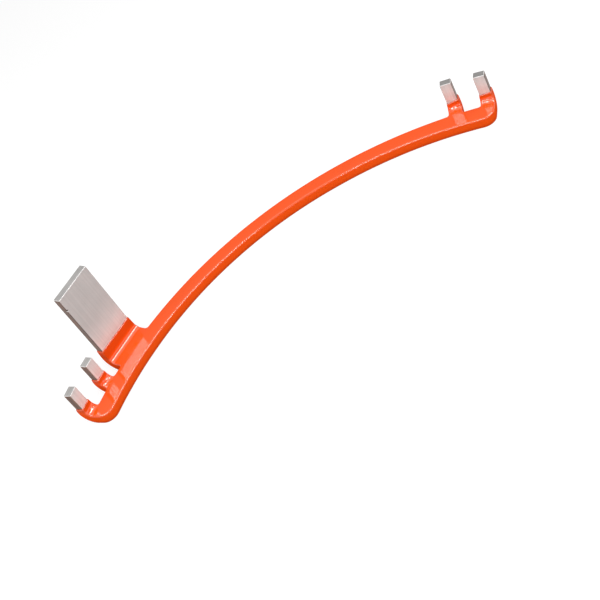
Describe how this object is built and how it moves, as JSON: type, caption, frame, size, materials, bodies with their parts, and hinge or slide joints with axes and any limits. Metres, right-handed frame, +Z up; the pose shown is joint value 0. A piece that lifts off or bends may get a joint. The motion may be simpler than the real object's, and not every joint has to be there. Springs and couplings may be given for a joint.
{
  "type": "insulated copper busbar",
  "caption": "Curved flat copper bar with upright winding prongs and a terminal plate, dip-coated in orange insulation with bare tinned ends.",
  "frame": {"origin": "middle of the bounding box at the coated underside, which the bar lies on", "axes": "+X along the bar towards the end without the terminal plate, +Y towards the outside of the curve, +Z up along the prongs"},
  "size_m": [0.2508, 0.0498, 0.0503],
  "materials": {
    "conductor": "tinned copper, satin, brushed along the fingers, pink near the coat, grey cut ends",
    "insulation": "glossy dipped coat, orange, edges rounded"
  },
  "bodies": {
    "root": {"conductor": "conductor", "insulation": "insulation"}
  },
  "joints": []
}
